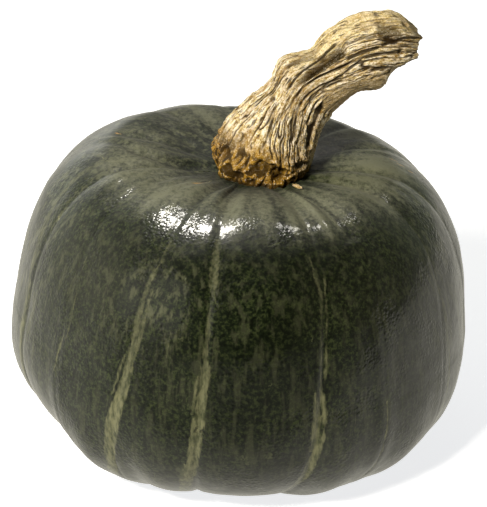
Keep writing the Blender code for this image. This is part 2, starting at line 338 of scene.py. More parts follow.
def linear(hex_colour):
    """The linear colour of an sRGB hex value, by the standard's two-part curve, with full alpha."""
    parts = np.array([int(hex_colour[i:i + 2], 16) for i in (1, 3, 5)]) / 255.0
    curve = np.where(parts <= 0.04045, parts / 12.92, ((parts + 0.055) / 1.055) ** 2.4)
    return (*curve.tolist(), 1.0)


def smooth_step(low, high, value):
    """0 below low, 1 above high, and an even S-curve between them."""
    share = np.clip((value - low) / (high - low), 0.0, 1.0)
    return share * share * (3.0 - 2.0 * share)


def bell(distance, width):
    """1 at no distance, falling off as a bell curve of that width."""
    return np.exp(-((distance / width) ** 2))


def turn_between(angle, other):
    """Signed difference of two angles in degrees, from -180 to 180."""
    return (angle - other + 180.0) % 360.0 - 180.0


def direction(heading, height):
    """The unit vector at a heading and a height above level, both in degrees."""
    turn, rise = np.radians((heading, height))
    return np.array((np.cos(turn) * np.cos(rise), np.sin(turn) * np.cos(rise), np.sin(rise)))


# ---------------------------------------------------------------- noise on whole arrays
def lattice_values(cell, seed):
    """A fixed random-looking number from 0 to 1 for each whole-numbered cell, by an integer hash."""
    x, y, z = np.moveaxis(cell.astype(np.int64), -1, 0)
    mixed = (x * 73856093) ^ (y * 19349663) ^ (z * 83492791) ^ (seed * 39916801 + 7)
    mixed = mixed & 0xFFFFFFFF
    mixed = ((mixed ^ (mixed >> 15)) * 1274126177) & 0xFFFFFFFF
    mixed = ((mixed ^ (mixed >> 13)) * 1103515245) & 0xFFFFFFFF
    return ((mixed ^ (mixed >> 16)) & 0xFFFFF) / 0xFFFFF


def noise(points, seed):
    """Smooth numbers from -1 to 1: the values at a cell's eight corners, blended by S-curves."""
    low = np.floor(points)
    part = points - low
    part = part**3 * (part * (part * 6.0 - 15.0) + 10.0)
    total = np.zeros(points.shape[:-1])
    for corner in np.ndindex(2, 2, 2):
        weight = np.prod(np.where(corner, part, 1.0 - part), axis=-1)
        total += weight * lattice_values(low + corner, seed)
    return 2.0 * total - 1.0


# ---------------------------------------------------------------- the fruit's body
def body_profile(latitude):
    """Radius and height of the plain body: a super-ellipse, narrower towards its crown."""
    upper = latitude >= 0.0
    power = np.where(upper, CROWN_ROUNDNESS, FOOT_ROUNDNESS)
    reach = np.where(upper, CROWN_HEIGHT, FOOT_DEPTH)
    cosine, sine = np.cos(latitude), np.sin(latitude)
    length = (np.abs(cosine) ** power + np.abs(sine) ** power) ** (1.0 / power)
    height = reach * sine / length
    return SIDE_RADIUS * cosine / length * (1.0 - TAPER * height / CROWN_HEIGHT), height


def hollow(radius):
    """Depth of the hollow round the stem: deepest on the axis, fading as a bell curve."""
    return HOLLOW_DEPTH * bell(radius, HOLLOW_WIDTH)


def groove_headings(rib, latitude):
    """Headings of the grooves on both sides of a rib: a parabola through foot, side and crown."""
    closed = np.vstack([GROOVES[:, :3], GROOVES[:1, :3] + 360.0])
    place = latitude / (np.pi / 2.0)
    weights = place * (place + 1.0) / 2.0, 1.0 - place * place, place * (place - 1.0) / 2.0
    first, second = (sum(w * closed[k, i] for i, w in enumerate(weights)) for k in (rib, rib + 1))
    return np.radians(first), np.radians(second)


def rib_swell(rib, latitude, width):
    """How far a rib swells at its middle: most at the foot, and more on a wide rib."""
    degrees = np.degrees(latitude)
    towards_foot = smooth_step(0.0, 45.0, -degrees)
    towards_crown = smooth_step(0.0, 60.0, degrees)
    foot = FOOT_SWELL * np.where(degrees < 0.0, GROOVES[rib, 3], 1.0)
    swell = SIDE_SWELL + (foot - SIDE_SWELL) * towards_foot
    swell = swell + (CROWN_SWELL - SIDE_SWELL) * towards_crown
    return swell * width / (2.0 * np.pi / RIBS)


def grown_body(rib_place, latitude):
    """Points of the ribbed body on its own axis, and the width of the rib; a whole rib_place is a
    groove."""
    rib = np.floor(rib_place).astype(int) % RIBS
    across = rib_place - np.floor(rib_place)
    first, second = groove_headings(rib, latitude)
    heading = first + across * (second - first)
    radius, height = body_profile(latitude)
    grown = smooth_step(PLAIN_RADIUS, FULL_RADIUS, radius)
    swell = grown * rib_swell(rib, latitude, second - first) * np.abs(np.sin(np.pi * across)) ** 1.1
    uneven = OVAL_SHARE * np.cos(2.0 * (heading - np.radians(OVAL_HEADING)))
    uneven = uneven + THREE_SHARE * np.cos(3.0 * (heading - np.radians(THREE_HEADING)))
    radius = radius * (1.0 + swell) * (1.0 + grown * uneven)
    height = height * (1.0 + swell)
    height = np.where(latitude >= 0.0, height - hollow(radius), height)
    points = np.stack([radius * np.cos(heading), radius * np.sin(heading), height], axis=-1)
    return points, (second - first) * radius


def lean_matrix():
    """Turns the body's own axis into the way it leans when it rests."""
    lean, nod = np.radians(LEAN), np.radians(NOD)
    sideways = np.array([
        (np.cos(lean), 0.0, np.sin(lean)),
        (0.0, 1.0, 0.0),
        (-np.sin(lean), 0.0, np.cos(lean)),
    ])
    forwards = np.array([
        (1.0, 0.0, 0.0),
        (0.0, np.cos(nod), -np.sin(nod)),
        (0.0, np.sin(nod), np.cos(nod)),
    ])
    return forwards @ sideways


def rested(points):
    """Flattens the foot at the rest plane, with a soft turn, and dents its middle."""
    low, high = REST_PLANE - REST_BLEND, REST_PLANE + REST_BLEND
    height = points[..., 2]
    turned = REST_PLANE + (height - low) ** 2 / (4.0 * REST_BLEND)
    height = np.where(height < low, REST_PLANE, np.where(height > high, height, turned))
    dimple = lean_matrix() @ (0.0, 0.0, -FOOT_DEPTH)
    away = np.hypot(points[..., 0] - dimple[0], points[..., 1] - dimple[1]) / DIMPLE_RADIUS
    dent = DIMPLE_DEPTH * np.clip(1.0 - away**2, 0.0, 1.0) ** 2
    height = np.where(points[..., 2] < 0.0, height + dent, height)
    return np.concatenate([points[..., :2], height[..., None]], axis=-1)


def to_origin():
    """The move from the body's own origin to the frame: the plain fruit fills its CAD box."""
    rib_place = np.arange(RIBS * 5) / 5.0
    latitude = np.radians(np.linspace(-90.0, 90.0, 41)[1:-1])
    points, _ = grown_body(*np.meshgrid(rib_place, latitude))
    flat = rested(points @ lean_matrix().T).reshape(-1, 3)
    low, high = (np.array(corner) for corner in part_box("fruit"))
    middle = (low + high) / 2.0 - (flat.min(axis=0) + flat.max(axis=0)) / 2.0
    return np.array([middle[0], middle[1], low[2] - REST_PLANE])


def fruit_coordinates():
    """Rib place and latitude of the grid: columns crowd towards the grooves by a sine's share."""
    even = np.arange(COLUMNS_PER_RIB) / COLUMNS_PER_RIB
    across = even - CROWDING * np.sin(2.0 * np.pi * even)
    rib_place = (np.arange(RIBS)[:, None] + across).ravel()
    latitude = np.radians(np.linspace(-90.0, 90.0, LATITUDE_ROWS + 2)[1:-1])
    return np.meshgrid(rib_place, latitude)


def strand_fields(rib_place, latitude, width):
    """Distance to the middle of each of three strands and their half-widths, in millimetres.

    Both come from the strand tables, joined by straight lines between their latitudes.
    """
    degrees = np.degrees(latitude[:, 0])
    groove = np.round(rib_place).astype(int)
    off = (rib_place - groove) * width / MM
    place = np.repeat(off[..., None], STRAND_LAYERS, axis=-1)
    half = np.full(place.shape, NO_STRAND_MM)
    for number in range(RIBS):
        here = groove[0] % RIBS == number
        for layer, rows in enumerate(STRANDS.get(number, USUAL_STRANDS)):
            at, middle, wide = np.transpose(rows)
            place[:, here, layer] -= np.interp(degrees, at, middle)[:, None]
            wide = np.interp(degrees, at, wide, left=NO_STRAND_MM, right=NO_STRAND_MM)
            half[:, here, layer] = wide[:, None]
    half = np.where(np.abs(place) > STRAND_REACH_MM, NO_STRAND_MM, half)
    return off, place, half


def furrows(rib_place, latitude, width):
    """Depth of the furrows round the hollow in millimetres: a bell across each middle line."""
    degrees = np.degrees(latitude[:, 0])
    deep = np.zeros_like(rib_place)
    for rows in FURROWS:
        middle, at, depth = np.transpose(rows)
        line = np.interp(degrees, at, middle)[:, None]
        depth = np.interp(degrees, at, depth, left=0.0, right=0.0)[:, None]
        across = (rib_place - line + RIBS / 2.0) % RIBS - RIBS / 2.0
        deep = deep + depth * bell(across * width / MM, FURROW_HALF_MM)
    return deep


def fills(rib_place, latitude, off):
    """How far the shallow grooves are filled in millimetres: a bell across each groove."""
    degrees = np.degrees(latitude[:, 0])
    groove = np.round(rib_place).astype(int) % RIBS
    height = np.zeros_like(rib_place)
    for number, rows in FILLS.items():
        tall = np.interp(degrees, *np.transpose(rows), left=0.0, right=0.0)[:, None]
        height = height + tall * (groove == number) * bell(off, FILL_HALF_MM)
    return height


def round_place(rib_place, radius, ribs_wide, length):
    """Coordinates in which unit cells are that many ribs wide and that long outwards in metres. They
    run round a circle, so that they meet again at the first groove."""
    turn = 2.0 * np.pi * rib_place / RIBS
    girth = RIBS / (2.0 * np.pi * ribs_wide)
    return np.stack([girth * np.cos(turn), girth * np.sin(turn), radius / length], axis=-1)


def round_noise(rib_place, radius, layers):
    """Layers of noise round the crown, added up, each at its own share, size and seed."""
    return sum(
        share * noise(round_place(rib_place, radius, ribs_wide, length), seed)
        for share, ribs_wide, length, seed in layers
    )


def skin_relief(points, off, latitude, rib_place, width):
    """Height of the skin's own unevenness in metres: broad dents, then smaller ones, a fine crease
    in each groove, which deepens as it enters the hollow, and pleats and furrows round the hollow.
    """
    lift = sum(height * noise(points / size, seed) for height, size, seed in SKIN_DENTS)
    degrees = np.degrees(latitude)
    shallow = np.isin(np.round(rib_place).astype(int) % RIBS, list(FILLS))
    crease = (0.12 + 0.38 * smooth_step(45.0, 5.0, degrees)) * np.where(shallow, 0.25, 1.0)
    lift -= crease * bell(off, 1.5) * smooth_step(-80.0, -60.0, degrees)
    radius = np.hypot(points[..., 0], points[..., 1])
    crown = degrees > 0.0
    ring = bell(radius - PLEATS_RADIUS, PLEATS_WIDTH) * crown
    lift += ring * round_noise(rib_place, radius, PLEATS)
    inner = smooth_step(0.060, 0.046, radius) * smooth_step(0.014, 0.026, radius) * crown
    lift -= 0.9 * inner * bell(off, 3.2)
    lift -= furrows(rib_place, latitude, width) * crown
    lift += fills(rib_place, latitude, off)
    heading = np.degrees(np.arctan2(points[..., 1], points[..., 0]))
    for middle, at, half, height in SWELLINGS:
        away = np.hypot(turn_between(heading, middle) * np.cos(latitude), degrees - at)
        lift += height * bell(away, half)
    return lift * MM


def grid_normals(points):
    """Unit normals of a grid that closes on itself across, from its two sets of differences."""
    across = np.roll(points, -1, axis=1) - np.roll(points, 1, axis=1)
    along = np.gradient(points, axis=0)
    normal = np.cross(across, along)
    return normal / np.linalg.norm(normal, axis=-1, keepdims=True)


def placed(points):
    """Points of the upright body in the frame: leaned, rested and moved."""
    return rested(points @ lean_matrix().T) + to_origin()


def bloom_with_painted_shadow(radius, heading):
    """Share of the bloom: a ring round the stem, thinner on the left, and taken out behind the stem to
    the right as a painted shadow of the stem.
    """
    ring = smooth_step(0.073, 0.047, radius) * (0.15 + 0.85 * smooth_step(0.018, 0.044, radius))
    thinner = 0.50 * bell(turn_between(heading, 170.0), 52.0)
    # Painted shadow of the stem: less bloom, so darker skin, where the stem's shadow falls in the
    # hollow.
    painted_stem_shadow = 0.80 * bell(turn_between(heading, 30.0), 32.0) * smooth_step(0.052, 0.036, radius)
    return ring * (1.0 - thinner) * (1.0 - painted_stem_shadow)


def fruit_surface():
    """The fruit's grid of points and poles in the frame, and its fields for the material."""
    rib_place, latitude = fruit_coordinates()
    points, width = grown_body(rib_place, latitude)
    off, place, half = strand_fields(rib_place, latitude, width)
    lift = skin_relief(points, off, latitude, rib_place, width)
    points = points + grid_normals(points) * lift[..., None]
    radius = np.hypot(points[..., 0], points[..., 1])
    heading = np.degrees(np.arctan2(points[..., 1], points[..., 0]))
    # Painted sheen: more grey streaks on the flanks, away from the front, and on a cheek at the front
    # left.
    flanks = smooth_step(48.0, 76.0, np.abs(turn_between(heading, FRONT)))
    painted_sheen_cheek = bell(turn_between(heading, -112.0), 13.0) * bell(np.degrees(latitude) - 27.0, 12.0)
    upper = latitude > 0.0
    fields = {
        "strand_place": place,
        "strand_half": half,
        "crown": smooth_step(0.070, 0.042, radius) * upper,
        # The bloom field carries the painted shadow of the stem.
        "bloom": bloom_with_painted_shadow(radius, heading) * upper,
        "streaks": round_noise(rib_place, radius, BLOOM_STREAKS),
        "dusty": np.maximum(flanks, 0.8 * painted_sheen_cheek),
    }
    poles, _ = grown_body(np.zeros(2), np.radians([-90.0, 90.0]))
    return placed(points), placed(poles), fields


# ---------------------------------------------------------------- the stem
def stem_centre(along):
    """Cubic Bezier curve through the stem, and its direction."""
    t = np.asarray(along)[..., None]
    a, b, c, d = STEM_ROUTE
    centre = (1 - t) ** 3 * a + 3 * t * (1 - t) ** 2 * b + 3 * t**2 * (1 - t) * c + t**3 * d
    ahead = (1 - t) ** 2 * (b - a) + 2 * t * (1 - t) * (c - b) + t**2 * (d - c)
    return centre, ahead / np.linalg.norm(ahead, axis=-1, keepdims=True)


def station_widths(along):
    """The stations' half-widths, joined by a curve that leaves each station level with its slope."""
    at, widths = STEM_STATIONS[:, 0], STEM_STATIONS[:, 1:]
    slopes = np.gradient(widths, at, axis=0)
    k = np.clip(np.searchsorted(at, along, side="right") - 1, 0, len(at) - 2)
    span = (at[k + 1] - at[k])[..., None]
    s = (np.asarray(along)[..., None] - at[k][..., None]) / span
    start, end = widths[k], widths[k + 1]
    leave, arrive = slopes[k] * span, slopes[k + 1] * span
    curve = start * (1 + 2 * s) * (1 - s) ** 2 + end * s * s * (3 - 2 * s)
    return curve + leave * s * (1 - s) ** 2 - arrive * s * s * (1 - s)


def pocket(along, degrees):
    """Share of the open pocket between the two strands: it widens as it climbs to a steep wall, and
    is deepest along its lower edge."""
    opened = smooth_step(0.44, 0.58, along) * smooth_step(0.728, 0.698, along)
    middle = 27.5 + (along - 0.47) * 68.0
    half = 5.0 + 8.5 * smooth_step(0.46, 0.64, along)
    across = turn_between(degrees, middle) / half
    return opened * smooth_step(-1.15, -0.65, across) * smooth_step(1.15, -0.35, across)


def creases(along, degrees):
    """Depth of the long creases in millimetres: a bell across each, fading at its two ends."""
    deep = np.zeros_like(along)
    for start, first, end, last, half, depth in CREASES:
        share = (along - start) / (end - start)
        middle = first + (last - first) * share
        off = np.radians(turn_between(degrees, middle)) * STEM_GIRTH_MM
        faded = smooth_step(-0.04, 0.16, share) * smooth_step(1.04, 0.84, share)
        deep = np.maximum(deep, depth * faded * bell(off, half))
    return deep


def patch(along, degrees, place, angle, radius_mm):
    """Share of a round patch on the stem: 1 inside its radius, with a soft edge."""
    sideways = np.radians(turn_between(degrees, angle)) * STEM_GIRTH_MM
    away = np.hypot((along - place) * STEM_LENGTH_MM, sideways)
    return smooth_step(1.25, 0.75, away / radius_mm)


def grain_place(along, degrees, pitch_mm, length_mm):
    """Coordinates in which unit cells are that wide round the stem and that long along it."""
    turned = np.radians(degrees + 22.0 * along)
    girth = STEM_GIRTH_MM / pitch_mm
    length = along * STEM_LENGTH_MM / length_mm
    return np.stack([girth * np.cos(turned), girth * np.sin(turned), length], axis=-1)


def grain_noises(along, degrees, sizes):
    """A noise in the stem's own coordinates for each pitch, length and seed."""
    return [noise(grain_place(along, degrees, pitch, length), seed) for pitch, length, seed in sizes]


def strands(values):
    """Turns smooth noise into rounded strands: 0 in sharp valleys where it passes zero, 1 on top."""
    return 1.0 - np.clip(1.0 - np.abs(values) / VALLEY_SHARE, 0.0, 1.0) ** 2


def stem_relief(along, degrees):
    """Height of the stem's surface in millimetres, and the fields that its material reads.

    Broad lumps, then ridges and fibres along the stem with sharp valleys between them, cut deeper
    by cracks along some of the valleys. At the foot the fibres turn to grains, pits and plates.
    The underside and the top of the upper lobe are calmer.
    """
    wander, quiver, gaps, knots, grains, grit, crumbs = grain_noises(along, degrees, STEM_NOISES)
    twist = 130.0 * (np.clip(along, 0.15, 0.50) - 0.50)
    bent = degrees + 5.0 * wander + 1.5 * quiver - twist * bell(turn_between(degrees, -15.0), 58.0)
    turned = turn_between(bent, 0.0)
    foot = along + 0.04 * wander + 0.08 * smooth_step(25.0, -20.0, turned)
    foot = smooth_step(0.25, 0.11, foot)
    hole = pocket(along, degrees)
    under = bell(turn_between(degrees, -62.0), 44.0) ** 0.5 * smooth_step(0.44, 0.54, along)
    under = smooth_step(0.45, 0.75, under * smooth_step(0.90, 0.84, along))
    above = smooth_step(40.0, 60.0, turned) * smooth_step(168.0, 145.0, turned)
    above = above * smooth_step(0.46, 0.58, along)
    calm = np.clip(1.0 - 0.85 * under - 0.45 * above, 0.0, 1.0) * (1.0 - 0.85 * hole)
    broad, ridges, fibres = grain_noises(along, bent, FIBRE_NOISES)
    lift = 0.70 * broad + (0.15 + 0.20 * np.maximum(above, foot)) * knots
    lift += calm * ((0.60 - 0.25 * foot) * strands(ridges) - 0.40)
    lift += calm * ((0.42 - 0.10 * foot) * strands(fibres) - 0.20)
    split = 0.80 * bell(ridges, 0.20) * smooth_step(-0.30, 0.25, gaps)
    split = calm * np.maximum(split, 0.45 * bell(fibres, 0.24) * smooth_step(0.35, -0.25, gaps))
    lift += foot * (0.45 * grains + 0.60 * grit) + (0.12 + 0.18 * calm) * crumbs
    deep = creases(along, degrees)
    lift -= np.maximum(split, deep) + POCKET_DEPTH_MM * hole
    # The upper side bulges at the foot and dips before the end.
    lift += 0.9 * bell(turn_between(degrees, 95.0), 40.0) * bell(along - 0.10, 0.08)
    lift -= 0.9 * bell(turn_between(degrees, 85.0), 40.0) * bell(along - 0.80, 0.09)
    pits = np.zeros_like(along)
    for place, angle, radius, depth in PITS:
        share = patch(along, degrees + 9.0 * quiver, place, angle, radius)
        lift -= depth * share
        pits = np.maximum(pits, share * smooth_step(0.8, 2.4, depth))
    plates = np.zeros_like(along)
    for place, angle, radius, height in PLATES:
        share = patch(along, degrees + 6.0 * quiver, place, angle, radius)
        lift += height * share
        plates = np.maximum(plates, share)
    golden = np.maximum(patch(along, bent, 0.15, 42.0, 4.6), patch(along, bent, 0.12, 14.0, 3.0))
    # Painted shade: the open pocket and the hollow of the torn end are darkened in the colour.
    end_shade = 0.6 * patch(along, bent, 0.890, 46.0, 3.8)
    fields = {
        "fibres": np.stack([ridges, fibres, gaps], axis=-1),
        "calm": calm,
        # Painted shade: the creases and pits are darkened in the colour.
        "crease": np.clip(deep, 0.0, 1.0) * (1.0 - 0.4 * hole),
        "pit": np.clip(pits, 0.0, 1.0),
        "sunken": np.clip(np.maximum(end_shade, hole), 0.0, 1.0),
        "bare": np.clip(under, 0.0, 1.0),
        "above": above,
        "golden": np.clip(0.8 * golden + plates, 0.0, 1.0),
        "foot": foot,
        "grains": 0.6 * (grains + grit),
    }
    return lift, fields, bent


def stem_point(along, angle, share, lift_mm):
    """Point at an angle round the stem: 0 is its front, 90 degrees its upper side."""
    centre, ahead = stem_centre(along)
    front = np.array([0.0, -1.0, 0.0]) - ahead * -ahead[..., 1:2]
    front = front / np.linalg.norm(front, axis=-1, keepdims=True)
    upper = np.cross(front, ahead)
    above, below, before, behind = np.moveaxis(station_widths(along), -1, 0)
    cosine, sine = np.cos(angle), np.sin(angle)
    wide = np.where(sine > 0.0, above, below)
    deep = np.where(cosine > 0.0, before, behind)
    radius = 1.0 / np.sqrt((cosine / deep) ** 2 + (sine / wide) ** 2)
    radius = (radius + lift_mm * MM) * share
    return centre + radius[..., None] * (cosine[..., None] * front + sine[..., None] * upper)


def clearance(points):
    """Height of points above the skin of the fruit's hollow, on the fruit's own axis."""
    own = points @ lean_matrix()
    latitude = np.radians(np.linspace(90.0, 45.0, 91))
    radius, height = body_profile(latitude)
    return own[..., 2] - np.interp(np.hypot(own[..., 0], own[..., 1]), radius, height - hollow(radius))


def seated(points):
    """Stops the points that would reach into the fruit just under the skin of its hollow."""
    own = points @ lean_matrix()
    own[..., 2] -= np.minimum(clearance(points) + SEAT_SINK, 0.0)
    return own @ lean_matrix().T


def stem_surface():
    """The stem's grid from the middle of its seat to the middle of its torn end, and its fields."""
    angle = np.linspace(np.pi, -np.pi, STEM_COLUMNS, endpoint=False)
    seat = np.arange(1, SEAT_RINGS + 1) / (SEAT_RINGS + 1)
    end = np.arange(END_RINGS, 0, -1) / (END_RINGS + 1)
    along = np.concatenate([np.zeros(SEAT_RINGS), np.linspace(0.0, 1.0, STEM_ROWS), np.ones(END_RINGS)])
    share = np.concatenate([seat, np.ones(STEM_ROWS), end])
    angles, alongs = np.meshgrid(angle, along)
    shares = np.broadcast_to(share[:, None], angles.shape)
    degrees = np.degrees(angles)
    lift, fields, bent = stem_relief(alongs, degrees)
    points = stem_point(alongs, angles, shares, lift)
    _, ahead = stem_centre(1.0)
    torn, jagged = grain_noises(np.ones_like(alongs), degrees, TORN_NOISES)
    torn = torn + 0.7 * jagged - 0.6 * bell(turn_between(degrees, 20.0), 10.0)
    near_end = smooth_step(0.90, 1.0, alongs)
    in_cap = (alongs >= 1.0) & (shares < 1.0)
    pith = noise(points / 0.0014, 52) + 0.6 * noise(points / 0.0007, 53)
    turned = turn_between(degrees, 0.0)
    under = smooth_step(-12.0, -24.0, turned) * smooth_step(-150.0, -120.0, turned)
    pulled = 1.2 - 1.2 * bell(turn_between(degrees, 45.0), 9.0) + 5.0 * under
    push = torn * near_end * np.where(in_cap, shares, 1.0)
    push = push - pulled * smooth_step(0.80, 1.0, alongs) * np.where(in_cap, shares**2, 1.0)
    caved = END_HOLLOW_MM * (1.0 - shares**3) - 0.55 * pith * (1.0 - shares**8)
    push = push - np.where(in_cap, caved, 0.0)
    points = points + (push * MM)[..., None] * ahead
    # Painted shade along the torn rim, and a painted contact shadow where the foot meets the fruit.
    torn_edge = smooth_step(0.955, 0.985, alongs) * smooth_step(-0.3, 0.2, torn)
    contact_shadow = smooth_step(2.0 * MM, 0.6 * MM, clearance(points) + 0.5 * MM * fields["grains"])
    fields["pit"] = np.maximum(fields["pit"], np.maximum(contact_shadow, 0.8 * torn_edge))
    grain = grain_place(alongs, bent, 1.0, 1.0) * MM
    grain[..., :2] *= np.where(in_cap, shares, 1.0)[..., None]
    fields["grain"] = grain
    foot, _ = stem_centre(0.0)
    tip, _ = stem_centre(1.0)
    poles = seated(np.array([foot, tip - END_HOLLOW_MM * MM * ahead]))
    move = to_origin()
    return seated(points) + move, poles + move, fields


def splinter_surface(length):
    """A flat spindle with a ragged skin: round sections that shrink by a root of a sine to its ends,
    lying between two points of the plain body and lifted clear of the skin."""
    ends = np.array(SPLINTER_ENDS)
    points, _ = grown_body(ends[:, 0], np.radians(ends[:, 1]))
    first, last = placed(points)
    middle = (first + last) / 2.0 + (0.0, 0.0, 1.0 * MM)
    ahead = (last - first) / np.linalg.norm(last - first)
    across = np.cross((0.0, 0.0, 1.0), ahead)
    across = across / np.linalg.norm(across)
    up = np.cross(ahead, across)
    along = np.linspace(0.0, np.pi, SPLINTER_RINGS + 2)[1:-1]
    angles, alongs = np.meshgrid(np.linspace(0.0, 2.0 * np.pi, SPLINTER_COLUMNS, endpoint=False), along)
    wide = np.sin(alongs) ** 0.9
    place = np.stack([4.0 * alongs / np.pi, 1.6 * np.cos(angles), 1.6 * np.sin(angles)], axis=-1)
    wide = wide * (1.0 + 0.35 * noise(place * 2.2, 61) + 0.15 * noise(place * 5.0, 62))
    far = -np.cos(alongs) * length / 2.0
    side = wide * np.cos(angles) * SPLINTER_WIDTH_MM * MM
    high = wide * np.sin(angles) * SPLINTER_HEIGHT_MM * MM
    rows = middle + far[..., None] * ahead + side[..., None] * across + high[..., None] * up
    poles = middle + np.array([[-0.5], [0.5]]) * length * ahead
    golden = np.ones_like(far)
    return rows, poles, {"grain": np.stack([side, high, far], axis=-1), "golden": golden}


# ---------------------------------------------------------------- meshes
def closed_mesh(name, rows, poles, fields):
    """Mesh of rings of quads round an axis, closed by a fan of triangles at each pole.

    Each field becomes an attribute of the points; a pole takes the mean of its nearest ring.
    """
    count, around = rows.shape[:2]
    points = np.concatenate([poles[:1], rows.reshape(-1, 3), poles[1:]])
    here = np.arange(around)
    after = (here + 1) % around
    start = 1 + around * np.arange(count - 1)[:, None]
    quads = np.stack([start + here, start + after, start + around + after, start + around + here], -1)
    top = len(points) - 1
    last = top - around
    fans = np.concatenate([
        np.stack([np.zeros_like(here), 1 + after, 1 + here], -1),
        np.stack([np.full_like(here, top), last + here, last + after], -1),
    ])
    mesh = bpy.data.meshes.new(name)
    faces = quads.reshape(-1, 4).tolist() + fans.tolist()
    mesh.from_pydata(points.tolist(), [], faces)
    for field, values in fields.items():
        vector = values.ndim == 3
        kind, slot = ("FLOAT_VECTOR", "vector") if vector else ("FLOAT", "value")
        flat = values.reshape(count * around, -1)
        ends = values[0].mean(axis=0), values[-1].mean(axis=0)
        flat = np.concatenate([np.reshape(ends[0], (1, -1)), flat, np.reshape(ends[1], (1, -1))])
        attribute = mesh.attributes.new(field, kind, "POINT")
        attribute.data.foreach_set(slot, flat.astype(np.float32).ravel())
    mesh.shade_smooth()
    mesh.update()
    return mesh


def add_piece(name, surface, material, node):
    """A piece of a surface: it rides on the root, and replaces a CAD node if one is named."""
    mesh = closed_mesh(name, *surface)
    mesh.materials.append(material)
    piece = bpy.data.objects.new(name, mesh)
    bpy.context.scene.collection.objects.link(piece)
    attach(piece, "root")
    if node:
        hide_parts(node)


# ---------------------------------------------------------------- materials
SMOOTH = {"interpolation_type": "SMOOTHSTEP"}
PRODUCT = {"operation": "MULTIPLY"}
PRODUCT_SUM = {"operation": "MULTIPLY_ADD"}
GREATER = {"operation": "MAXIMUM"}
PAINT = {"data_type": "RGBA"}


def set_inputs(node, inputs):
    """Sets a node's inputs by name or number, or links one whose value is another node's output."""
    for name, value in inputs.items():
        if isinstance(value, bpy.types.NodeSocket):
            node.id_data.links.new(value, node.inputs[name])
        else:
            node.inputs[name].default_value = value


def add(tree, kind, settings=None, inputs=(), stops=(), output=0):
    """Adds a node and returns one of its outputs.

    Inputs that aren't named fill its sockets in order: for a Map Range, the value, from where, to
    where, and what it gives at those two. Stops are a ramp's colours.
    """
    node = tree.nodes.new("ShaderNode" + kind)
    for name, value in (settings or {}).items():
        setattr(node, name, value)
    set_inputs(node, inputs if isinstance(inputs, dict) else dict(enumerate(inputs)))
    for _ in stops[2:]:
        node.color_ramp.elements.new(0.5)
    for number, (place, colour) in enumerate(stops):
        node.color_ramp.elements[number].position = place
        node.color_ramp.elements[number].color = colour
    return node.outputs[output]


def new_material(name):
    """A material, its shader, and the function that adds nodes to its tree."""
    material = bpy.data.materials.new(name)
    material.use_nodes = True
    tree = material.node_tree
    return material, tree.nodes["Principled BSDF"], partial(add, tree)


def scar_nearness(make, place, scars):
    """How near a point is to some scars: above 0 inside one.

    Each scar is an ellipsoid: the point in its own turned and scaled axes has a length below 1.
    """
    scars = np.array(scars)
    points, _ = grown_body(scars[:, (0, 2)] % RIBS, np.radians(scars[:, (1, 3)]))
    near = -1.0
    for (first, last), half in zip(placed(points), scars[:, 4] * MM):
        along = Vector(last - first)
        own = make("Mapping", {"vector_type": "TEXTURE"}, {
            "Vector": place,
            "Location": (first + last) / 2.0,
            "Rotation": along.to_track_quat("X", "Z").to_euler(),
            "Scale": (along.length / 2.0 + half, half, SCAR_DEPTH),
        })
        away = make("VectorMath", {"operation": "LENGTH"}, (own,), output="Value")
        inside = make("Math", {"operation": "SUBTRACT"}, (1.0, away))
        near = make("Math", GREATER, (inside, near))
    return near


